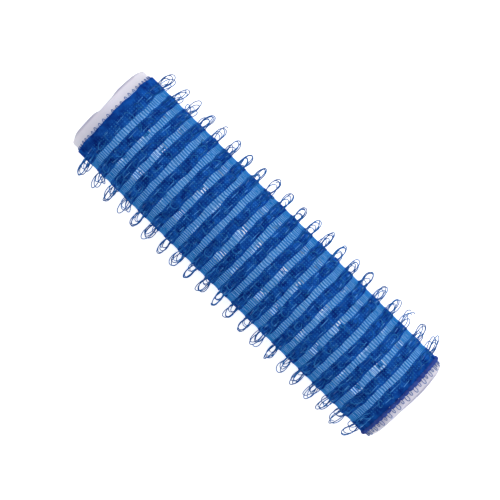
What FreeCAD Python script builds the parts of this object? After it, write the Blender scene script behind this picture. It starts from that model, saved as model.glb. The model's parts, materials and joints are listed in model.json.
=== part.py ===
"""Self-grip hair roller: a perforated plastic tube with a sleeve of woven hook tape.

The roller lies on its side. X runs along its axis, from the plain edge of the tape to the
knitted edge, Z points up, and the origin is the middle of the axis. Sizes are millimetres.
"""

import FreeCAD, Part
import math
import os
import Sketcher

NODE_FOLDER = "parts"
BANDS = 21
MIDDLE_BAND = 11
ALONG_TUBE = FreeCAD.Vector(1, 0, 0)
UP = FreeCAD.Vector(0, 0, 1)

# Driving dimensions. Each becomes a cell of the sheet, under this name.
DRIVING = {
    # the tube
    "tube_length": 63.0,
    "tube_diameter": 15.0,
    "tube_wall": 0.9,
    "rim_outer_round": 0.4,
    "rim_inner_round": 0.2,
    "window_length": 1.96,
    "window_angle": 19.4,
    "window_row_pitch": 4.08,
    "window_rows": 13,
    "windows_around": 9,
    "window_turn": -5.9,
    "cutter_margin": 0.6,
    # the tape as a whole
    "sleeve_width": 59.7,
    "sleeve_middle": 0.35,
    "edge_width": 0.6,
    # weft: the threads that run along the tube, like the rungs of a ladder
    "weft_diameter": 0.18,
    "weft_picks": 104,
    # warp: the bands of thread that run round the tube
    "band_thickness": 0.18,
    "band_width": 1.68,
    "band_pitch": 2.804,
    "band_edge_round": 0.07,
    "middle_row_place": 0.42,
    # hooks: a row of standing loops on each band
    "wire_diameter": 0.14,
    "ring_wire_diameter": 0.17,
    "loops_per_row": 26,
    "loop_width": 1.2,
    "loop_tip_radius": 10.43,
    # the knitted edge of the tape
    "edge_cord_diameter": 0.44,
    "bead_diameter": 0.6,
    "picot_wire": 0.12,
    "lift_off_tube": 0.04,
    "picot_root": 0.05,
    "large_picot_width": 0.57,
    "large_picot_reach": 0.84,
    "small_picot_width": 0.42,
    "small_picot_reach": 0.6,
}

# Sizes that follow from the driving ones.
DERIVED = {
    "tube_radius": "=tube_diameter / 2",
    "bore_radius": "=tube_radius - tube_wall",
    "window_inside": "=bore_radius - cutter_margin",
    "window_outside": "=tube_radius + cutter_margin",
    "window_rows_length": "=(window_rows - 1) * window_row_pitch",
    "first_window_start": "=(window_rows_length + window_length) / 2",
    "weft_radius_place": "=tube_radius + weft_diameter / 2",
    "band_inner_radius": "=tube_radius + weft_diameter",
    "band_outer_radius": "=band_inner_radius + band_thickness",
    "wire_radius_place": "=band_outer_radius + ring_wire_diameter / 2",
    "sleeve_start": "=sleeve_middle - sleeve_width / 2",
    "sleeve_end": "=sleeve_middle + sleeve_width / 2",
    "weft_length": "=sleeve_width - edge_width",
    "weft_middle": "=sleeve_middle - edge_width / 2",
    "half_pick_angle": "=180 / weft_picks",
    "turn_half_gap": "=weft_radius_place * sin(half_pick_angle * 1 deg)",
    "turn_height": "=weft_radius_place * cos(half_pick_angle * 1 deg)",
    "leg_half_gap": "=(loop_width - wire_diameter) / 2",
    "leg_top": "=loop_tip_radius - wire_diameter / 2 - leg_half_gap",
    "edge_cord_place": "=tube_radius + edge_cord_diameter / 2",
    "bead_place": "=tube_radius + lift_off_tube + bead_diameter / 2",
    "edge_middle": "=sleeve_end - edge_width / 2",
    "picot_place": "=tube_radius + lift_off_tube + picot_wire / 2",
    "large_picot_half_gap": "=(large_picot_width - picot_wire) / 2",
    "small_picot_half_gap": "=(small_picot_width - picot_wire) / 2",
    "large_picot_leg": "=(edge_width - large_picot_width) / 2 + large_picot_reach",
    "small_picot_leg": "=(edge_width - small_picot_width) / 2 + small_picot_reach",
}

doc = FreeCAD.newDocument("hair_roller")
sheet = doc.addObject("Spreadsheet::Sheet", "sizes")


def fill_sheet():
    """Writes every size and its name into the sheet, driving dimensions first."""
    for row, (name, value) in enumerate({**DRIVING, **DERIVED}.items(), start=1):
        sheet.set(f"A{row}", name)
        sheet.set(f"B{row}", str(value))
        sheet.setAlias(f"B{row}", name)
    doc.recompute()


def size(name):
    """The value of one cell of the sheet."""
    return float(getattr(sheet, name))


def bind(thing, prop, name):
    """Ties a property to a cell, or to a formula of cells where it starts with '='."""
    thing.setExpression(prop, name[1:] if name.startswith("=") else f"sizes.{name}")


def new_body(label):
    body = doc.addObject("PartDesign::Body", label)
    body.Label = label
    return body


def origin_plane(body, role):
    return next(f for f in body.Origin.OriginFeatures if f.Role == role)


def new_sketch(body, name, role, offset=FreeCAD.Placement()):
    """A sketch on one of the body's own origin planes, or moved off it by an offset."""
    sketch = body.newObject("Sketcher::SketchObject", name)
    sketch.AttachmentSupport = [(origin_plane(body, role), "")]
    sketch.MapMode = "FlatFace"
    sketch.AttachmentOffset = offset
    return sketch


def constrain(sketch, kind, *references):
    return sketch.addConstraint(Sketcher.Constraint(kind, *references))


def dimension(sketch, name, kind, references, cell):
    """Adds a named dimension to a sketch and ties it to the sheet."""
    sketch.renameConstraint(constrain(sketch, kind, *references, size(cell)), name)
    bind(sketch, f"Constraints.{name}", cell)


def add_section(sketch, diameter_cell, up_cell=None, side_cell=None):
    """A round wire's section, that far above the sketch's origin and beside it."""
    centre = FreeCAD.Vector(size(side_cell) if side_cell else 0, size(up_cell) if up_cell else 0)
    circle = sketch.addGeometry(Part.Circle(centre, UP, size(diameter_cell) / 2))
    dimension(sketch, "wire_diameter", "Diameter", (circle,), diameter_cell)
    for name, kind, cell, axis in (
        ("wire_up", "DistanceY", up_cell, -1),
        ("wire_side", "DistanceX", side_cell, -2),
    ):
        if cell:
            dimension(sketch, name, kind, (-1, 1, circle, 3), cell)
        else:
            constrain(sketch, "PointOnObject", circle, 3, axis)
    return circle


def turn_about(body, kind, name, sketch, axis, degrees):
    """A Revolution or Groove of the sketch about one of its own axes."""
    feature = body.newObject(f"PartDesign::{kind}", name)
    feature.Profile = sketch
    feature.ReferenceAxis = (sketch, [axis])
    feature.Angle = degrees
    doc.recompute()
    return feature


def repeat_around(body, name, feature, sketch, count):
    """Repeats a feature evenly round the roller's axis, and makes that the body's tip."""
    pattern = body.newObject("PartDesign::PolarPattern", name)
    pattern.Originals = [feature]
    pattern.Axis = (sketch, ["H_Axis"])
    pattern.Angle = 360
    bind(pattern, "Occurrences", count)
    body.Tip = pattern
    doc.recompute()


def place_along(body, place):
    """Puts the body that far along the tube, from the middle of it."""
    bind(body, "Placement.Base.x", place)
    doc.recompute()


def padded_ring(body, name, outer_cell, inner_cell, length):
    """A tube along X about the middle of the body, from two circles in one sketch."""
    sketch = new_sketch(body, f"{name}_section", "YZ_Plane")
    for side, cell in (("outer", outer_cell), ("inner", inner_cell)):
        circle = sketch.addGeometry(Part.Circle(FreeCAD.Vector(), UP, size(cell)))
        constrain(sketch, "Coincident", circle, 3, -1, 1)
        dimension(sketch, f"{side}_radius", "Radius", (circle,), cell)
    pad = body.newObject("PartDesign::Pad", f"{name}_wall")
    pad.Profile = sketch
    pad.SideType = "Symmetric"
    bind(pad, "Length", length)
    doc.recompute()
    return pad


def round_rims(body, name, ring, edge_cell, half_length, round_cell):
    """Rounds the two end edges of a ring that have that radius."""
    edges = [
        f"Edge{number}"
        for number, edge in enumerate(ring.Shape.Edges, start=1)
        if isinstance(edge.Curve, Part.Circle)
        and abs(edge.Curve.Radius - size(edge_cell)) < 1e-4
        and abs(abs(edge.Curve.Center.x) - half_length) < 1e-4
    ]
    fillet = body.newObject("PartDesign::Fillet", name)
    fillet.Base = (ring, edges)
    bind(fillet, "Radius", round_cell)
    doc.recompute()
    return fillet


def add_arch(body, name, plane, cells):
    """A round wire bent into a narrow arch: two straight legs and a half-round top.

    The arch stands along the Y axis of its plane. The cells give the height of its feet,
    the height where its legs end, half the gap between its legs, and the wire's diameter.
    """
    feet_cell, leg_cell, gap_cell, wire_cell = cells
    feet, leg_end, half_gap = (size(cell) for cell in (feet_cell, leg_cell, gap_cell))
    path = new_sketch(body, f"{name}_path", "XY_Plane", plane)
    corners = [FreeCAD.Vector(half_gap, feet), FreeCAD.Vector(half_gap, leg_end)]
    mirrored = [FreeCAD.Vector(-half_gap, leg_end), FreeCAD.Vector(-half_gap, feet)]
    right = path.addGeometry(Part.LineSegment(*corners))
    circle = Part.Circle(FreeCAD.Vector(0, leg_end), UP, half_gap)
    crown = path.addGeometry(Part.ArcOfCircle(circle, 0, math.pi))
    left = path.addGeometry(Part.LineSegment(*mirrored))
    constrain(path, "Tangent", right, 2, crown, 1)
    constrain(path, "Tangent", crown, 2, left, 1)
    constrain(path, "Vertical", right)
    constrain(path, "PointOnObject", crown, 3, -2)
    constrain(path, "Symmetric", right, 1, left, 2, -2)
    dimension(path, "feet", "DistanceY", (-1, 1, right, 1), feet_cell)
    dimension(path, "leg_end", "DistanceY", (-1, 1, crown, 3), leg_cell)
    dimension(path, "half_gap", "DistanceX", (-1, 1, right, 1), gap_cell)

    across_foot = FreeCAD.Placement(
        FreeCAD.Vector(0, feet, 0), FreeCAD.Rotation(FreeCAD.Vector(1, 0, 0), -90)
    )
    section = new_sketch(body, f"{name}_section", "XY_Plane", plane * across_foot)
    add_section(section, wire_cell, side_cell=gap_cell)
    pipe = body.newObject("PartDesign::AdditivePipe", name)
    pipe.Profile = section
    pipe.Spine = path
    doc.recompute()
    return pipe


def core_tube():
    """The plastic tube, with rounded rims and rows of windows through its wall."""
    body = new_body("core_tube")
    half_length = size("tube_length") / 2
    wall = padded_ring(body, "tube", "tube_radius", "bore_radius", "tube_length")
    rims = round_rims(body, "outer_rims", wall, "tube_radius", half_length, "rim_outer_round")
    rims = round_rims(body, "inner_rims", rims, "bore_radius", half_length, "rim_inner_round")

    outline = new_sketch(body, "window_outline", "XZ_Plane")
    start = -size("first_window_start")
    end = start + size("window_length")
    inside, outside = size("window_inside"), size("window_outside")
    corners = [(start, inside), (end, inside), (end, outside), (start, outside)]
    for here, there in zip(corners, corners[1:] + corners[:1]):
        outline.addGeometry(Part.LineSegment(FreeCAD.Vector(*here), FreeCAD.Vector(*there)))
    for side, direction in enumerate(("Horizontal", "Vertical", "Horizontal", "Vertical")):
        constrain(outline, "Coincident", side, 2, (side + 1) % 4, 1)
        constrain(outline, direction, side)
    dimension(outline, "start", "DistanceX", (0, 1, -1, 1), "first_window_start")
    dimension(outline, "length", "DistanceX", (0, 1, 0, 2), "window_length")
    dimension(outline, "inside", "DistanceY", (-1, 1, 0, 1), "window_inside")
    dimension(outline, "outside", "DistanceY", (-1, 1, 2, 1), "window_outside")
    window = turn_about(body, "Groove", "first_window", outline, "H_Axis", size("window_angle"))
    window.Midplane = True
    bind(window, "Angle", "window_angle")
    doc.recompute()

    windows = body.newObject("PartDesign::MultiTransform", "windows")
    windows.Originals = [window]
    along = body.newObject("PartDesign::LinearPattern", "windows_along")
    along.Direction = (outline, ["H_Axis"])
    bind(along, "Length", "window_rows_length")
    bind(along, "Occurrences", "window_rows")
    around = body.newObject("PartDesign::PolarPattern", "windows_around")
    around.Axis = (outline, ["H_Axis"])
    around.Angle = 360
    bind(around, "Occurrences", "windows_around")
    windows.Transformations = [along, around]
    body.Tip = windows
    turn = FreeCAD.Rotation(ALONG_TUBE, size("window_turn"))
    body.Placement = FreeCAD.Placement(FreeCAD.Vector(), turn)
    doc.recompute()
    if body.Shape.Volume > 0.9 * rims.Shape.Volume:
        raise RuntimeError("the windows did not cut the tube")
    return body


def weft_threads():
    """The threads along the tube: one straight thread, repeated round it."""
    body = new_body("weft_threads")
    section = new_sketch(body, "weft_section", "YZ_Plane")
    add_section(section, "weft_diameter", "turn_height", "turn_half_gap")
    thread = body.newObject("PartDesign::Pad", "weft_thread")
    thread.Profile = section
    thread.SideType = "Symmetric"
    bind(thread, "Length", "weft_length")
    doc.recompute()
    axis = new_sketch(body, "weft_axis", "XZ_Plane")
    repeat_around(body, "all_weft_threads", thread, axis, "weft_picks")
    place_along(body, "weft_middle")
    return body


def selvedge_turns():
    """The half turns that join the weft threads in pairs at the plain edge of the tape."""
    body = new_body("selvedge_turns")
    section = new_sketch(body, "turn_section", "YZ_Plane")
    add_section(section, "weft_diameter", "turn_height", "turn_half_gap")
    turn = turn_about(body, "Revolution", "first_turn", section, "V_Axis", 180)
    if turn.Shape.BoundBox.XMin > -size("turn_half_gap"):
        turn.Reversed = True
        doc.recompute()
    axis = new_sketch(body, "turn_axis", "XZ_Plane")
    repeat_around(body, "all_turns", turn, axis, "=sizes.weft_picks / 2")
    place_along(body, "sleeve_start")
    return body


def loop_row(number):
    """One row of hook loops, standing on two wires that run round the band."""
    body = new_body(f"loop_row_{number:02d}")
    rings = new_sketch(body, f"ring_sections_{number:02d}", "XZ_Plane")
    right = add_section(rings, "ring_wire_diameter", "wire_radius_place", "leg_half_gap")
    mirrored = FreeCAD.Vector(-size("leg_half_gap"), size("wire_radius_place"))
    left = rings.addGeometry(Part.Circle(mirrored, UP, size("ring_wire_diameter") / 2))
    constrain(rings, "Equal", right, left)
    constrain(rings, "Symmetric", right, 3, left, 3, -2)
    turn_about(body, "Revolution", f"ring_wires_{number:02d}", rings, "H_Axis", 360)
    upright = FreeCAD.Placement(FreeCAD.Vector(), FreeCAD.Rotation(ALONG_TUBE, 90))
    cells = ("wire_radius_place", "leg_top", "leg_half_gap", "wire_diameter")
    loop = add_arch(body, f"loop_{number:02d}", upright, cells)
    repeat_around(body, f"loops_{number:02d}", loop, rings, "loops_per_row")
    # Half a step, so that two loops of each row share the ground when the roller rests.
    half_step = FreeCAD.Rotation(ALONG_TUBE, 180 / size("loops_per_row"))
    body.Placement = FreeCAD.Placement(FreeCAD.Vector(), half_step)
    place_along(body, f"={row_place(number)}")
    return body


def row_place(number):
    """Formula for how far along the tube a row of loops stands."""
    return f"(sizes.middle_row_place + {number - MIDDLE_BAND} * sizes.band_pitch)"


def warp_band(number):
    """One dark band of warp. The first and last reach out to the edges of the tape."""
    body = new_body(f"warp_band_{number:02d}")
    start = f"({row_place(number)} - sizes.band_width / 2)"
    end = f"({row_place(number)} + sizes.band_width / 2)"
    if number == 1:
        start = "sizes.sleeve_start"
    elif number == BANDS:
        end = "(sizes.sleeve_end - sizes.edge_width)"
    name = f"band_{number:02d}"
    wall = padded_ring(body, name, "band_outer_radius", "band_inner_radius", f"={end} - {start}")
    half_length = wall.Length.Value / 2
    edges = ("band_outer_radius", half_length, "band_edge_round")
    round_rims(body, f"{name}_edges", wall, *edges)
    place_along(body, f"=({start} + {end}) / 2")
    return body


def add_picots(body, size_word, turn, axis_sketch):
    """Every second loop of edge thread: they lie on the tube, beyond the knitted edge."""
    turned = FreeCAD.Placement(FreeCAD.Vector(), FreeCAD.Rotation(ALONG_TUBE, turn))
    lying = FreeCAD.Placement(
        FreeCAD.Vector(0, 0, size("picot_place")), FreeCAD.Rotation(UP, -90)
    )
    word = f"{size_word}_picot"
    cells = ("picot_root", f"{word}_leg", f"{word}_half_gap", "picot_wire")
    picot = add_arch(body, word, turned * lying, cells)
    repeat_around(body, f"{word}s", picot, axis_sketch, "=sizes.weft_picks / 4")


def knitted_edge():
    """The knitted edge of the tape: a beaded cord with small loops beyond it."""
    body = new_body("knitted_edge")
    cord = new_sketch(body, "cord_section", "XZ_Plane")
    add_section(cord, "edge_cord_diameter", "edge_cord_place")
    turn_about(body, "Revolution", "edge_cord", cord, "H_Axis", 360)
    bead = body.newObject("PartDesign::AdditiveSphere", "bead")
    bind(bead, "Radius", "=sizes.bead_diameter / 2")
    bead.AttachmentSupport = [(origin_plane(body, "XY_Plane"), "")]
    bead.MapMode = "FlatFace"
    bead_place = FreeCAD.Vector(0, 0, size("bead_place"))
    bead.AttachmentOffset = FreeCAD.Placement(bead_place, FreeCAD.Rotation())
    doc.recompute()
    repeat_around(body, "beads", bead, cord, "=sizes.weft_picks / 2")
    add_picots(body, "large", 0, cord)
    add_picots(body, "small", 360 / size("weft_picks") * 2, cord)
    place_along(body, "edge_middle")
    return body


def check(bodies):
    """Stops if any object failed, or any body has no sound shape."""
    failed = [thing.Name for thing in doc.Objects if {"Invalid", "Error"} & set(thing.State)]
    if failed:
        raise RuntimeError(f"failed objects: {failed}")
    for body in bodies:
        if body.Shape.isNull() or not body.Shape.isValid() or not body.Shape.Solids:
            raise RuntimeError(f"{body.Label} has no sound shape")


fill_sheet()
bodies = [core_tube(), weft_threads(), selvedge_turns(), knitted_edge()]
for number in range(1, BANDS + 1):
    bodies += [warp_band(number), loop_row(number)]
doc.recompute()
check(bodies)
os.makedirs(NODE_FOLDER, exist_ok=True)
for body in bodies:
    body.Shape.exportStep(os.path.join(NODE_FOLDER, f"{body.Label}.step"))
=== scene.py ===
"""Self-grip hair roller: the looks of its tube, woven tape and rows of hook loops.

The roller's axis is X, and +Z is up. Angles round the axis run from +Z towards +Y.
Sizes of the threads are in millimetres here, and every mesh is made in metres.
"""
import json
import math

import bpy
import numpy as np
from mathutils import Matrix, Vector


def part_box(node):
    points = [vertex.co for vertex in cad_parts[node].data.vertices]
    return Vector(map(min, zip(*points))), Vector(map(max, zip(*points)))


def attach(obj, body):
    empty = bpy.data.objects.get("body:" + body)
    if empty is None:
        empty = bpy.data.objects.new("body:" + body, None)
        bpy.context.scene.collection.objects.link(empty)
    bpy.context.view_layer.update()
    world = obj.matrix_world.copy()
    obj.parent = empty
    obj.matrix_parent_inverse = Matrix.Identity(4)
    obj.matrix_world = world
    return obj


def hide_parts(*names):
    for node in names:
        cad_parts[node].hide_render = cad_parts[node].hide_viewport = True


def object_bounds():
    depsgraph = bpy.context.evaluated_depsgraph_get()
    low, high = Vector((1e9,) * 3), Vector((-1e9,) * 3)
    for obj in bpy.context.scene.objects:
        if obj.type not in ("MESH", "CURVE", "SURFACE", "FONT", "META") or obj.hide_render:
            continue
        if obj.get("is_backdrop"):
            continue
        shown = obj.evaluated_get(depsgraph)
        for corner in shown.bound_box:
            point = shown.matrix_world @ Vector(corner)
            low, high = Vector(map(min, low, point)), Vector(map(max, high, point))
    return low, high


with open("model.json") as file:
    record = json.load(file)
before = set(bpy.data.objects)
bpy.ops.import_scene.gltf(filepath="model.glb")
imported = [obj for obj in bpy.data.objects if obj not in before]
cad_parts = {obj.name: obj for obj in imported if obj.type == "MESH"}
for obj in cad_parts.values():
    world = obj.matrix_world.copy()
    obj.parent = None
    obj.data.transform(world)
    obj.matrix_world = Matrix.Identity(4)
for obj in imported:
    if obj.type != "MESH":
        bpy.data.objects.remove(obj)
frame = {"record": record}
cad_low, cad_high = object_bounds()

MM = 0.001
SEED = 15063
BANDS = 21
PICKS = 104
LOOPS_PER_ROW = 26
BEADS = 52  # stitches of the knitted edge, and turns of weft at the plain edge
TURN = 2 * math.pi


# ---------------------------------------------------------------- sizes from the frame

def span(node):
    """Where a node starts and ends along the roller, and its greatest radius, in mm."""
    low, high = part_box(node)
    return low.x / MM, high.x / MM, max(high.y, high.z) / MM


TUBE_START, TUBE_END, TUBE_RADIUS = span("core_tube")
MOUNTS = {mount["name"]: mount for mount in frame["record"]["mounts"]}
BORE_RADIUS = MOUNTS["core_bore"]["dims"]["r_mm"]
BAND_SPANS = [span(f"warp_band_{n:02d}") for n in range(1, BANDS + 1)]
ROW_SPANS = [span(f"loop_row_{n:02d}") for n in range(1, BANDS + 1)]
TAPE_START = BAND_SPANS[0][0]
TAPE_RADIUS = BAND_SPANS[10][2]
TIP_RADIUS = ROW_SPANS[10][2]
EDGE_START, _, _ = span("knitted_edge")
GROUND = cad_low.z / MM


# ---------------------------------------------------------------- mesh helpers

def on_roller(x, radius, angle):
    """Points at that place along the roller, that radius and that angle round it."""
    x, radius, angle = np.broadcast_arrays(x, radius, angle)
    return np.stack([x, radius * np.sin(angle), radius * np.cos(angle)], axis=-1)


def make_object(name, points, quads, material, node_slot, replaced=()):
    """A smooth mesh piece from points in mm and four-cornered faces."""
    mesh = bpy.data.meshes.new(name)
    mesh.vertices.add(len(points))
    mesh.vertices.foreach_set("co", (np.asarray(points) * MM).astype(np.float32).ravel())
    mesh.loops.add(4 * len(quads))
    mesh.loops.foreach_set("vertex_index", np.asarray(quads, np.int32).ravel())
    mesh.polygons.add(len(quads))
    mesh.polygons.foreach_set("loop_start", np.arange(0, 4 * len(quads), 4, dtype=np.int32))
    mesh.polygons.foreach_set("use_smooth", np.ones(len(quads), bool))
    mesh.update(calc_edges=True)
    mesh.materials.append(material)
    piece = bpy.data.objects.new(name, mesh)
    bpy.context.scene.collection.objects.link(piece)
    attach(piece, "root")
    if replaced:
        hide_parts(*replaced)
    return piece


def unit(vectors):
    return vectors / np.maximum(np.linalg.norm(vectors, axis=-1, keepdims=True), 1e-12)


def strands(paths, outward, width, height, sides=6, closed=False):
    """Round or flattened threads along many paths of equally many points.

    paths is (threads, points, 3); outward points away from each thread's flat underside.
    Width and height are the half sizes of its section, as numbers or (threads, points).
    Open threads get a small closed end at each tip. Returns points and quads.
    """
    paths = np.asarray(paths, float)
    count, length = paths.shape[:2]
    if closed:
        along = np.roll(paths, -1, axis=1) - np.roll(paths, 1, axis=1)
    else:
        along = np.gradient(paths, axis=1)
    along = unit(along)
    outward = np.broadcast_to(outward, paths.shape)
    lift = unit(outward - along * (outward * along).sum(-1, keepdims=True))
    side = np.cross(along, lift)
    around = np.arange(sides) * TURN / sides
    width = np.broadcast_to(width, (count, length))[:, :, None, None]
    height = np.broadcast_to(height, (count, length))[:, :, None, None]
    ring = (
        side[:, :, None] * np.cos(around)[None, None, :, None] * width
        + lift[:, :, None] * np.sin(around)[None, None, :, None] * height
    )
    points = paths[:, :, None] + ring
    if not closed:  # both tips are drawn in to a point
        points[:, 0] = paths[:, 0, None] + 0.02 * ring[:, 0]
        points[:, -1] = paths[:, -1, None] + 0.02 * ring[:, -1]
    index = np.arange(count * length * sides).reshape(count, length, sides)
    following = np.roll(index, -1, axis=1) if closed else index[:, 1:]
    current = index if closed else index[:, :-1]
    quads = np.stack(
        [current, np.roll(current, -1, axis=2), np.roll(following, -1, axis=2), following],
        axis=-1,
    ).reshape(-1, 4)
    return points.reshape(-1, 3), quads


def joined(parts):
    """Several (points, quads) sets as one."""
    points, quads, start = [], [], 0
    for these_points, these_quads in parts:
        points.append(these_points)
        quads.append(these_quads + start)
        start += len(these_points)
    return np.concatenate(points), np.concatenate(quads)


def wander(rng, angles, size, slowest=1, fastest=6):
    """A smooth closed wave round the roller, random in shape, about that size."""
    wave = np.zeros_like(angles)
    for beat in range(slowest, fastest + 1):
        wave += rng.normal() / math.sqrt(beat) * np.sin(beat * angles + rng.uniform(0, TURN))
    return size * wave / math.sqrt(fastest - slowest + 1)


# ---------------------------------------------------------------- materials

def srgb(red, green, blue):
    """A linear colour from its usual 0-255 values."""
    def linear(value):
        value /= 255
        return value / 12.92 if value <= 0.04045 else ((value + 0.055) / 1.055) ** 2.4
    return (linear(red), linear(green), linear(blue), 1.0)


class Nodes:
    """A small helper to write a material's nodes."""

    def __init__(self, name):
        self.material = bpy.data.materials.new(name)
        self.material.use_nodes = True
        self.tree = self.material.node_tree
        self.shader = self.tree.nodes["Principled BSDF"]
        self.place = self.add("ShaderNodeTexCoord").outputs["Object"]

    def add(self, kind, **settings):
        node = self.tree.nodes.new(kind)
        for key, value in settings.items():
            setattr(node, key, value)
        return node

    def link(self, source, target):
        self.tree.links.new(source, target)

    def set(self, **values):
        for key, value in values.items():
            self.shader.inputs[key.replace("_", " ")].default_value = value

    def noise(self, scale, detail=2.0):
        noise = self.add("ShaderNodeTexNoise")
        noise.inputs["Scale"].default_value = scale
        noise.inputs["Detail"].default_value = detail
        self.link(self.place, noise.inputs["Vector"])
        return noise.outputs["Fac"]

    def ramp(self, factor, stops):
        ramp = self.add("ShaderNodeValToRGB")
        elements = ramp.color_ramp.elements
        while len(elements) < len(stops):
            elements.new(0.5)
        for element, (position, colour) in zip(elements, stops):
            element.position = position
            element.color = colour
        self.link(factor, ramp.inputs["Fac"])
        return ramp.outputs["Color"]

    def ranged(self, value, start, end, low=0.0, high=1.0):
        """The value, spread from the range start..end onto low..high."""
        ranged = self.add("ShaderNodeMapRange")
        ranged.inputs["From Min"].default_value = start
        ranged.inputs["From Max"].default_value = end
        ranged.inputs["To Min"].default_value = low
        ranged.inputs["To Max"].default_value = high
        self.link(value, ranged.inputs["Value"])
        return ranged.outputs["Result"]

    def math(self, operation, first, second=None):
        math_node = self.add("ShaderNodeMath", operation=operation)
        self.link(first, math_node.inputs[0])
        if second is not None:
            self.link(second, math_node.inputs[1])
        return math_node.outputs["Value"]

    def blend(self, factor, first, second):
        """The first colour, turning into the second as the factor goes to 1."""
        mix = self.add("ShaderNodeMix", data_type="RGBA")
        self.link(factor, mix.inputs["Factor"])
        for colour, socket in ((first, mix.inputs["A"]), (second, mix.inputs["B"])):
            if isinstance(colour, tuple):
                socket.default_value = colour
            else:
                self.link(colour, socket)
        return mix.outputs["Result"]

    def place_on_roller(self):
        """How far from the roller's middle, and from its axis, in metres."""
        parts = self.add("ShaderNodeSeparateXYZ")
        self.link(self.place, parts.inputs["Vector"])
        squares = [self.math("MULTIPLY", parts.outputs[i], parts.outputs[i]) for i in "YZ"]
        radius = self.math("SQRT", self.math("ADD", *squares))
        return self.math("ABSOLUTE", parts.outputs["X"]), radius

    def roughness(self, grain, low, high):
        self.link(self.ranged(grain, 0.0, 1.0, low, high), self.shader.inputs["Roughness"])

    def bump(self, height, strength, distance):
        bump = self.add("ShaderNodeBump")
        bump.inputs["Strength"].default_value = strength
        bump.inputs["Distance"].default_value = distance
        self.link(height, bump.inputs["Height"])
        self.link(bump.outputs["Normal"], self.shader.inputs["Normal"])


def yarn_material(name, dark, light, roughness, gloss):
    """Dyed multifilament yarn: mottled colour, and fine fibres along it."""
    nodes = Nodes(name)
    mottle = nodes.noise(900, 3.0)
    nodes.link(nodes.ramp(mottle, [(0.32, dark), (0.68, light)]), nodes.shader.inputs["Base Color"])
    fibres = nodes.noise(9000, 2.0)
    nodes.roughness(fibres, roughness - 0.12, roughness + 0.12)
    nodes.bump(fibres, 0.35, 0.00002)
    nodes.set(Specular_IOR_Level=gloss, IOR=1.45)
    return nodes.material


# Painted shade: the outside of the plastic under the tape is painted a darker blue, standing in for
# the shade of the threads and the blue light that comes through them.
PLASTIC_PAINTED_SHADE_UNDER_TAPE = srgb(156, 212, 255)
# Painted light: the bore under the tape is painted a blue-tinted light, as if lit through the blue
# threads.
BORE_PAINTED_BLUE_LIGHT = srgb(208, 226, 250)
# The plastic is painted with shade and light under the tape up to here from the roller's middle,
# and bare from there on.
PAINTED_UNDER_TAPE_TO, BARE_FROM = 29.2, 29.7
# A weak painted glow on the wall of the bore: painted light that brightens the inside of the tube.
BORE_GLOW = 0.24
BORE_GLOW_TINT = srgb(205, 230, 255)


def tube_material():
    """Cloudy white plastic: painted shade along its rims, painted blue shade where the tape covers
    it, painted blue light on the bore there, and a painted glow on the bore's wall.
    """
    nodes = Nodes("cloudy_plastic")
    cloud = nodes.noise(260, 3.0)
    colour = nodes.ramp(cloud, [(0.35, srgb(229, 223, 229)), (0.65, srgb(236, 230, 235))])
    from_middle, from_axis = nodes.place_on_roller()
    # Painted shade: the plastic turns darker towards each end, along the rounded rims.
    rim_shade = nodes.ranged(from_middle, (TUBE_END - 0.5) * MM, (TUBE_END - 0.1) * MM)
    colour = nodes.blend(rim_shade, colour, srgb(160, 154, 178))
    # Painted blue shade on the outside of the plastic under the tape, and painted blue light on the
    # bore there.
    under_tape_shade_and_light = nodes.ranged(from_middle, BARE_FROM * MM, PAINTED_UNDER_TAPE_TO * MM)
    outside = nodes.ranged(from_axis, (TUBE_RADIUS - 0.4) * MM, (TUBE_RADIUS - 0.1) * MM)
    colour = nodes.blend(under_tape_shade_and_light, colour, BORE_PAINTED_BLUE_LIGHT)
    colour = nodes.blend(nodes.math("MULTIPLY", under_tape_shade_and_light, outside), colour, PLASTIC_PAINTED_SHADE_UNDER_TAPE)
    nodes.link(colour, nodes.shader.inputs["Base Color"])
    grain = nodes.noise(1500, 3.0)
    nodes.roughness(grain, 0.42, 0.6)
    nodes.bump(grain, 0.25, 0.00003)
    nodes.set(Subsurface_Weight=1.0, Subsurface_Scale=0.0006, Subsurface_Radius=(1.0, 1.0, 1.0))
    nodes.set(Transmission_Weight=0.4, Specular_IOR_Level=0.3, Emission_Color=BORE_GLOW_TINT)
    # Painted light: the wall of the bore glows.
    start, full = (BORE_RADIUS + 0.3) * MM, (BORE_RADIUS + 0.1) * MM
    glow = nodes.ranged(from_axis, start, full, 0.0, BORE_GLOW)
    nodes.link(glow, nodes.shader.inputs["Emission Strength"])
    return nodes.material


def wire_material(name, dark, light, gloss):
    """Smooth blue monofilament, between two tints."""
    nodes = Nodes(name)
    tint = nodes.noise(420, 2.0)
    nodes.link(nodes.ramp(tint, [(0.42, dark), (0.6, light)]), nodes.shader.inputs["Base Color"])
    nodes.roughness(nodes.noise(6000, 2.0), 0.3, 0.5)
    nodes.set(Specular_IOR_Level=gloss, IOR=1.5)
    return nodes.material


WARP = yarn_material("warp_yarn", srgb(8, 38, 122), srgb(24, 92, 186), 0.6, 0.0)
WEFT = yarn_material("weft_yarn", srgb(46, 132, 206), srgb(72, 150, 218), 0.5, 0.0)
EDGE = yarn_material("edge_yarn", srgb(42, 58, 132), srgb(60, 86, 164), 0.6, 0.0)
PICOT = yarn_material("picot_yarn", srgb(66, 94, 154), srgb(92, 124, 182), 0.5, 0.1)
TUBE = tube_material()
WIRE = wire_material("standing_monofilament", srgb(22, 84, 152), srgb(44, 116, 186), 0.02)
# The lying floats are the same monofilament as the loops, painted lighter: a painted highlight
# standing in for the glints along them.
LYING_WIRE_PAINTED_GLINTS = wire_material("lying_monofilament_painted_glints", srgb(16, 76, 160), srgb(80, 156, 232), 0.15)


# ---------------------------------------------------------------- the tube

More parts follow.
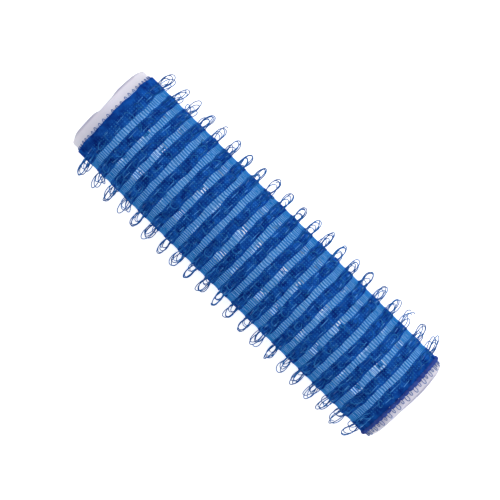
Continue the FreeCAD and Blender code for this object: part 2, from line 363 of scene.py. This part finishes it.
# The windows, as they are in the frame.
WINDOW_ROWS = 13
WINDOWS_AROUND = 9
WINDOW_PITCH = 4.08
WINDOW_LENGTH = 1.96
WINDOW_ANGLE = math.radians(19.4)
WINDOW_TURN = math.radians(5.9)
RIM_ROUND = 0.42
BORE_ROUND_SHARE = 0.35
# How far each end falls short of the full length, in mm, at these angles round the rim.
RIM_ANGLES = np.radians([-180, -140, -105, -77, -51, -28, -16, -11, 8, 25, 49, 80, 110, 145])
PLAIN_END_DIPS = [0.1, 0.22, 0.3, 0.33, 0.02, 0.04, 0.1, 0.36, 0.27, 0.03, 0.05, 0.2, 0.12, 0.26]
KNIT_END_DIPS = [0.2, 0.1, 0.33, 0.46, 0.28, 0.25, 0.24, 0.21, 0.07, 0.0, 0.08, 0.28, 0.3, 0.08]


def rim_dip(angles, dips):
    """The dips of one end, blended smoothly round the rim."""
    turned = (angles + math.pi) % TURN - math.pi
    around = np.concatenate([RIM_ANGLES, RIM_ANGLES[:1] + TURN])
    level = np.concatenate([dips, dips[:1]])
    index = np.clip(np.searchsorted(around, turned, side="right") - 1, 0, len(dips) - 1)
    share = (turned - around[index]) / (around[index + 1] - around[index])
    share = share**2 * (3 - 2 * share)
    return level[index] * (1 - share) + level[index + 1] * share


def tube():
    """The moulded tube: two skins, the walls of its windows, and soft, uneven rims."""
    half_rows = (WINDOW_ROWS - 1) / 2
    stops = []
    for row in range(WINDOW_ROWS):
        middle = (row - half_rows) * WINDOW_PITCH
        stops += [middle - WINDOW_LENGTH / 2, middle, middle + WINDOW_LENGTH / 2]
        if row < WINDOW_ROWS - 1:
            stops.append(middle + WINDOW_PITCH / 2)
    collar = stops[-1]
    half = (TUBE_END - TUBE_START) / 2
    rim = half - RIM_ROUND * (1 - np.sin(np.linspace(0, math.pi / 2, 6)))
    ends = np.concatenate([np.linspace(collar, half - RIM_ROUND, 8)[1:-1], rim])
    places = np.concatenate([-ends[::-1], stops, ends])
    beyond = np.clip(np.abs(places) - (half - RIM_ROUND), 0, RIM_ROUND)
    rounding = RIM_ROUND - np.sqrt(np.maximum(RIM_ROUND**2 - beyond**2, 0))

    cell = TURN / WINDOWS_AROUND
    open_share = np.linspace(-WINDOW_ANGLE / 2, WINDOW_ANGLE / 2, 7)[:-1]
    rib_share = np.linspace(WINDOW_ANGLE / 2, cell - WINDOW_ANGLE / 2, 7)[:-1]
    angles = np.concatenate(
        [WINDOW_TURN + n * cell + np.concatenate([open_share, rib_share])
         for n in range(WINDOWS_AROUND)]
    )
    in_window = np.tile(np.arange(12) < 6, WINDOWS_AROUND)

    reach = np.clip((np.abs(places) - collar) / (half - collar), 0, 1)[:, None] ** 2
    plain_dip = rim_dip(angles, PLAIN_END_DIPS)
    knit_dip = rim_dip(angles, KNIT_END_DIPS)
    shortfall = np.where(places[:, None] < 0, plain_dip, -knit_dip)
    x = places[:, None] + reach * shortfall
    ovality = 0.02 * np.cos(2 * angles + 0.7)[None, :] * reach
    outer = on_roller(x, TUBE_RADIUS - rounding[:, None] - np.abs(ovality), angles[None, :])
    bore = BORE_RADIUS + BORE_ROUND_SHARE * rounding[:, None]
    inner = on_roller(x, bore, angles[None, :])

    rows, columns = len(places), len(angles)
    shift = rows * columns
    index = np.arange(shift).reshape(rows, columns)
    under = index + shift
    gap = np.zeros((rows - 1, columns), bool)
    for row in range(rows - 1):
        middle = (places[row] + places[row + 1]) / 2
        nearest = round(middle / WINDOW_PITCH) * WINDOW_PITCH
        within = abs(middle - nearest) < WINDOW_LENGTH / 2
        if within and abs(nearest) <= half_rows * WINDOW_PITCH + 0.1:
            gap[row] = in_window
    quads = []
    for row in range(rows - 1):
        for column in range(columns):
            after = (column + 1) % columns
            a, b = index[row, column], index[row, after]
            c, d = index[row + 1, after], index[row + 1, column]
            if not gap[row, column]:
                quads.append((a, d, c, b))
                quads.append((a + shift, b + shift, c + shift, d + shift))
                continue
            if not gap[row - 1, column]:
                quads.append((a, b, b + shift, a + shift))
            if not gap[row + 1, column]:
                quads.append((d, d + shift, c + shift, c))
            if not gap[row, column - 1]:
                quads.append((a, a + shift, d + shift, d))
            if not gap[row, after]:
                quads.append((b, c, c + shift, b + shift))
    for column in range(columns):
        after = (column + 1) % columns
        quads.append((index[0, column], index[0, after], under[0, after], under[0, column]))
        quads.append((index[-1, after], index[-1, column], under[-1, column], under[-1, after]))
    points = np.concatenate([outer.reshape(-1, 3), inner.reshape(-1, 3)])
    piece = make_object("tube", points, quads, TUBE, "tube_plastic", ["core_tube"])
    soften = piece.modifiers.new("soft_window_edges", "BEVEL")
    soften.width = 0.08 * MM
    soften.segments = 2
    soften.limit_method = "ANGLE"
    soften.angle_limit = math.radians(40)
    return piece


# ---------------------------------------------------------------- the weave

# A pick is a pair of threads, this far to each side of its middle.
WEFT_HALF_GAP = 0.066
WEFT_RADIUS = 0.064
WEFT_LEVEL = TAPE_RADIUS - 0.125
WARP_PITCH = 0.21
WARP_HALF_WIDTH = 0.14
WARP_HALF_HEIGHT = 0.055
WARP_LEVEL = TAPE_RADIUS - 0.105
CRIMP = 0.045  # how far a yarn rises over a pick and dips under the next
POINTS_PER_PICK = 4


def weft():
    """The doubled threads along the tube, gripped by each band and freer between them."""
    rng = np.random.default_rng(SEED + 1)
    places, sag = [], []
    for band, (low, high, _) in enumerate(BAND_SPANS):
        places += [low, (low + high) / 2, high]
        sag += [0.0, 0.0, 0.0]
        if band < BANDS - 1:
            places.append((high + BAND_SPANS[band + 1][0]) / 2)
            sag.append(1.0)
    places, sag = np.array(places), np.array(sag)
    paths = []
    for angle in (np.arange(PICKS) + 0.5) * TURN / PICKS:
        drift = rng.normal(0, 0.028, len(places)) + rng.normal(0, 0.03, len(places)) * sag
        for side in (-1, 1):
            uneven = 0.2 * rng.normal() + 0.35 * sag * rng.normal(0, 1, len(places))
            spread = WEFT_HALF_GAP * (1 + uneven)
            radius = WEFT_LEVEL - 0.03 * sag + rng.normal(0, 0.012, len(places)) * sag
            paths.append(on_roller(places, radius, angle + (drift + side * spread) / TUBE_RADIUS))
    paths = np.array(paths)
    outward = paths * (0, 1, 1)
    return make_object(
        "weft_threads_pair",
        *strands(paths, outward, WEFT_RADIUS, WEFT_RADIUS * 0.9, sides=5),
        WEFT, "weft_yarn", ["weft_threads"],
    )


def warp_band(number):
    """One band of yarns woven over and under the weft, with slightly uneven edges."""
    rng = np.random.default_rng(SEED + 100 + number)
    low, high, _ = BAND_SPANS[number - 1]
    points = PICKS * POINTS_PER_PICK
    angles = np.arange(points) * TURN / points
    ends = max(2, round((high - low) / WARP_PITCH))
    sway = wander(rng, angles, 0.14, 2, 12)
    edge_sway = {-1: wander(rng, angles, 0.2, 3, 26), 1: wander(rng, angles, 0.2, 3, 26)}
    paths, widths = [], []
    for yarn in range(ends):
        share = (yarn + 0.5) / ends
        x = low + share * (high - low) + sway + wander(rng, angles, 0.014, 3, 24)
        side = 1 if share > 0.5 else -1
        x = x + edge_sway[side] * (abs(share - 0.5) * 2) ** 2
        over = np.cos(angles * PICKS + math.pi * (yarn % 2))
        lift = CRIMP * (1 + wander(rng, angles, 0.35, 8, 60)) * over
        radius = WARP_LEVEL + lift + wander(rng, angles, 0.008, 6, 50)
        paths.append(on_roller(x, radius, angles))
        uneven = 0.06 * rng.normal() + wander(rng, angles, 0.07, 5, 60)
        widths.append(WARP_HALF_WIDTH * (1 + uneven))
    paths = np.array(paths)
    outward = paths * (0, 1, 1)
    return make_object(
        f"woven_band_{number:02d}",
        *strands(paths, outward, np.array(widths), WARP_HALF_HEIGHT, sides=5, closed=True),
        WARP, "warp_yarn", [f"warp_band_{number:02d}"],
    )


# ---------------------------------------------------------------- the hooks

WIRE_RADIUS = 0.07
FLOAT_COLUMN = 0.375  # how far the lying floats are from the middle of their band
LOOP_HEIGHTS = (2.15, 2.62)
LOOP_WIDTHS = (0.85, 1.35)
CUT_SHARE = 0.09
SNAGGED_SHARE = 0.02
# Rows near the ends lean towards the middle of the roller: mm at the loop's tip, by row.
LEAN_ROWS = [1, 2, 3, 5, 16, 18, 20, 21]
LEANS = [0.5, 0.45, 0.35, 0.05, 0.0, -0.15, -0.4, -0.55]


def loop_path(rng, lean, points=26):
    """One loop in its own plane: (across, up, sideways) from the foot on one side.

    A few loops are cut open, and end in the air on one side.
    """
    opening = math.radians(rng.uniform(24, 44))
    sweep = np.linspace(-math.pi / 2 + opening, 3 * math.pi / 2 - opening, points)
    if rng.random() < CUT_SHARE:
        sweep = np.linspace(sweep[0], rng.uniform(0.5, 1.1) * math.pi, points)
    if rng.random() < 0.5:
        sweep = math.pi - sweep
    height = rng.uniform(*LOOP_HEIGHTS)
    width = rng.uniform(*LOOP_WIDTHS)
    share = np.clip((np.sin(sweep) + math.cos(opening)) / (1 + math.cos(opening)), 0, 1)
    across = np.cos(sweep) * width / 2 * (0.85 + 0.3 * share)
    across += (lean + rng.normal(0, 0.13)) * share**1.4
    across += rng.normal(0, 0.03) * np.sin(2 * sweep) + rng.normal(0, 0.02) * np.sin(3 * sweep)
    sideways = rng.normal(0, 0.3) * share**1.7 + rng.normal(0, 0.07) * np.cos(sweep)
    return across, share * height, sideways


def loop_row(number):
    """A row of standing loops, and the short floats of wire that lie on the band."""
    rng = np.random.default_rng(SEED + 200 + number)
    low, high, _ = ROW_SPANS[number - 1]
    middle = (low + high) / 2
    base = TAPE_RADIUS - 0.1
    lean = np.interp(number, LEAN_ROWS, LEANS)
    paths, across_plane = [], []
    step = TURN / LOOPS_PER_ROW
    for loop in range(LOOPS_PER_ROW):
        angle = (loop + 0.5) * step + rng.normal(0, 0.12) * step
        across, up, sideways = loop_path(rng, lean)
        twist = rng.normal(0, math.radians(15))
        if rng.random() < SNAGGED_SHARE:  # a snagged loop, pulled over the sheer stripe beside it
            across = across + rng.choice([-1, 1]) * 0.9 * (up / 2.6)
            up = up * 0.5
        x = middle + rng.normal(0, 0.08) + across * math.cos(twist)
        aside = sideways + across * math.sin(twist)
        radius = np.minimum(base + up, TIP_RADIUS - WIRE_RADIUS)
        paths.append(on_roller(x, radius, angle + aside / radius))
        across_plane.append(on_roller(0, 1, angle + math.pi / 2))
    paths = np.array(paths)
    paths[:, :, 2] = np.maximum(paths[:, :, 2], GROUND + WIRE_RADIUS)
    outward = np.array(across_plane)[:, None, :]
    loops = strands(paths, outward, WIRE_RADIUS, WIRE_RADIUS)

    floats = []
    for column in (-1, 1):
        for n in range(LOOPS_PER_ROW // 2):
            angle = (2 * n + (column + 1) / 2) * step + rng.normal(0, 0.12) * step
            half = math.radians(rng.uniform(4.6, 7.2))
            sweep = np.linspace(-1, 1, 14)
            rise = TAPE_RADIUS + 0.02 - 0.13 * sweep**6
            x = middle + column * FLOAT_COLUMN + rng.normal(0, 0.05) + rng.normal(0, 0.04) * sweep
            floats.append(on_roller(x, rise, angle + half * sweep))
    floats = np.array(floats)
    lying = strands(floats, floats * (0, 1, 1), WIRE_RADIUS * 0.85, WIRE_RADIUS * 0.7)
    points, quads = joined([loops, lying])
    piece = make_object(
        f"hook_loops_{number:02d}", points, quads, WIRE, "hook_wire", [f"loop_row_{number:02d}"],
    )
    # The floats take the lighter material, whose tints hold the painted glints.
    piece.data.materials.append(LYING_WIRE_PAINTED_GLINTS)
    kinds = np.zeros(len(quads), np.int32)
    kinds[len(loops[1]):] = 1
    piece.data.polygons.foreach_set("material_index", kinds)
    return piece


# ---------------------------------------------------------------- the tape's edges

def selvedge_turns():
    """Small turns of weft at the plain edge, one for every second pick."""
    rng = np.random.default_rng(SEED + 3)
    step = TURN / BEADS
    sweep = np.linspace(0, math.pi, 12)
    paths = []
    for n in range(BEADS):
        reach = rng.uniform(0.3, 0.46)
        half = rng.uniform(0.14, 0.2)
        angle = n * step + rng.normal(0, 0.04) * step
        x = TAPE_START + 0.1 - (reach + 0.1) * np.sin(sweep)
        across = half * np.cos(sweep)
        radius = TUBE_RADIUS + 0.06 + 0.06 * np.cos(sweep) ** 2
        paths.append(on_roller(x, radius, angle + across / TUBE_RADIUS))
    paths = np.array(paths)
    return make_object(
        "weft_turns", *strands(paths, paths * (0, 1, 1), 0.055, 0.05),
        PICOT, "weft_yarn", ["selvedge_turns"],
    )


def knitted_edge():
    """Plump stitches round the knitted edge."""
    rng = np.random.default_rng(SEED + 4)
    step = TURN / BEADS
    paths, heights = [], []
    share = np.linspace(-1, 1, 9)
    middle = EDGE_START + 0.2
    for n in range(BEADS):
        angle = n * step + rng.normal(0, 0.03) * step
        x = middle + 0.05 - 0.12 * share**2 + rng.normal(0, 0.015)
        radius = TUBE_RADIUS + 0.3 - 0.1 * share**2
        paths.append(on_roller(x, radius, angle + share * step * 0.62))
        heights.append(0.25 * np.sqrt(1 - 0.85 * share**2) * rng.uniform(0.92, 1.06))
    paths = np.array(paths)
    heights = np.array(heights)
    return make_object(
        "edge_stitches", *strands(paths, paths * (0, 1, 1), heights * 1.35, heights, sides=8),
        EDGE, "edge_yarn", ["knitted_edge"],
    )


def edge_picots():
    """Loops of edge thread, large and small in turn, beyond the stitches."""
    rng = np.random.default_rng(SEED + 5)
    step = TURN / BEADS
    sweep = np.linspace(-0.25 * math.pi, 1.25 * math.pi, 18)
    root = EDGE_START + 0.5
    paths = []
    for n in range(BEADS):
        long, wide = ((0.84, 0.57), (0.6, 0.42))[n % 2]
        long *= rng.uniform(0.9, 1.05)
        wide *= rng.uniform(0.9, 1.08)
        angle = (n + 0.5) * step + rng.normal(0, 0.04) * step
        up = (np.sin(sweep) + 0.7) / 1.7
        x = root + up * long
        across = np.cos(sweep) * (wide / 2 - 0.05) * (0.9 + 0.2 * up)
        radius = TUBE_RADIUS + 0.08 + 0.05 * (1 - up)
        paths.append(on_roller(x, radius, angle + across / TUBE_RADIUS))
    paths = np.array(paths)
    return make_object(
        "edge_picots", *strands(paths, paths * (0, 1, 1), 0.056, 0.048),
        PICOT, "edge_yarn",
    )


# ---------------------------------------------------------------- floor, light and camera

FLOOR_HALF_SIZE = 3.0  # m
FLOOR_GAP = 0.00002  # m
FLOOR_GLOW = 0.66
WORLD_LIGHT = 0.42
LIGHT_DISTANCE = 0.9  # m


def floor_material():
    nodes = Nodes("pale_floor")
    grain = nodes.noise(40, 2.0)
    white, off_white = (0.97, 0.97, 0.97, 1), (0.96, 0.96, 0.96, 1)
    colour = nodes.ramp(grain, [(0.3, off_white), (0.7, white)])
    nodes.link(colour, nodes.shader.inputs["Base Color"])
    nodes.set(Roughness=0.9, Specular_IOR_Level=0.0)
    nodes.set(Emission_Color=(1, 1, 1, 1), Emission_Strength=FLOOR_GLOW)
    return nodes.material


def floor():
    mesh = bpy.data.meshes.new("floor")
    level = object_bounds()[0].z - FLOOR_GAP
    corners = [
        (x * FLOOR_HALF_SIZE, y * FLOOR_HALF_SIZE, level)
        for x, y in ((-1, -1), (1, -1), (1, 1), (-1, 1))
    ]
    mesh.from_pydata(corners, [], [(0, 1, 2, 3)])
    mesh.materials.append(floor_material())
    plane = bpy.data.objects.new("floor", mesh)
    bpy.context.scene.collection.objects.link(plane)
    plane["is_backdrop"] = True


VIEW_TURN = math.radians(44.63)
VIEW_DISTANCE = 0.43  # m
LENS = 208.15
SENSOR = 36.0
RIGHT = Vector((math.cos(VIEW_TURN), math.sin(VIEW_TURN), 0))
UP = Vector((-math.sin(VIEW_TURN), math.cos(VIEW_TURN), 0))
# The camera looks at a point this far from the roller's middle.
FRAMING = RIGHT * -0.00098 + UP * 0.00059


def camera():
    data = bpy.data.cameras.new("camera")
    data.lens = LENS
    data.sensor_width = SENSOR
    data.clip_start = 0.01
    data.clip_end = 20
    eye = bpy.data.objects.new("camera", data)
    eye.location = FRAMING + Vector((0, 0, VIEW_DISTANCE))
    eye.rotation_euler = (0, 0, VIEW_TURN)
    bpy.context.scene.collection.objects.link(eye)
    bpy.context.scene.camera = eye


def soft_light(name, direction, size, watts):
    data = bpy.data.lights.new(name, "AREA")
    data.shape = "DISK"
    data.size = size
    data.energy = watts
    lamp = bpy.data.objects.new(name, data)
    lamp.location = direction.normalized() * LIGHT_DISTANCE
    lamp.rotation_euler = (-direction).to_track_quat("-Z", "Y").to_euler()
    bpy.context.scene.collection.objects.link(lamp)


def studio():
    world = bpy.data.worlds.new("studio")
    world.use_nodes = True
    background = world.node_tree.nodes["Background"]
    background.inputs["Color"].default_value = (1, 1, 1, 1)
    background.inputs["Strength"].default_value = WORLD_LIGHT
    bpy.context.scene.world = world
    above, along, across = Vector((0, 0, 1)), Vector((1, 0, 0)), Vector((0, 1, 0))
    soft_light("key", above + across * 0.8 + along * 0.2, 0.6, 3.3)
    soft_light("far_end", above + along * 1.1, 0.3, 1.4)
    soft_light("near_end", above - along * 1.1, 0.3, 1.4)
    bpy.context.scene.view_settings.view_transform = "Standard"


tube()
weft()
for band in range(1, BANDS + 1):
    warp_band(band)
    loop_row(band)
selvedge_turns()
knitted_edge()
edge_picots()
floor()
camera()
studio()
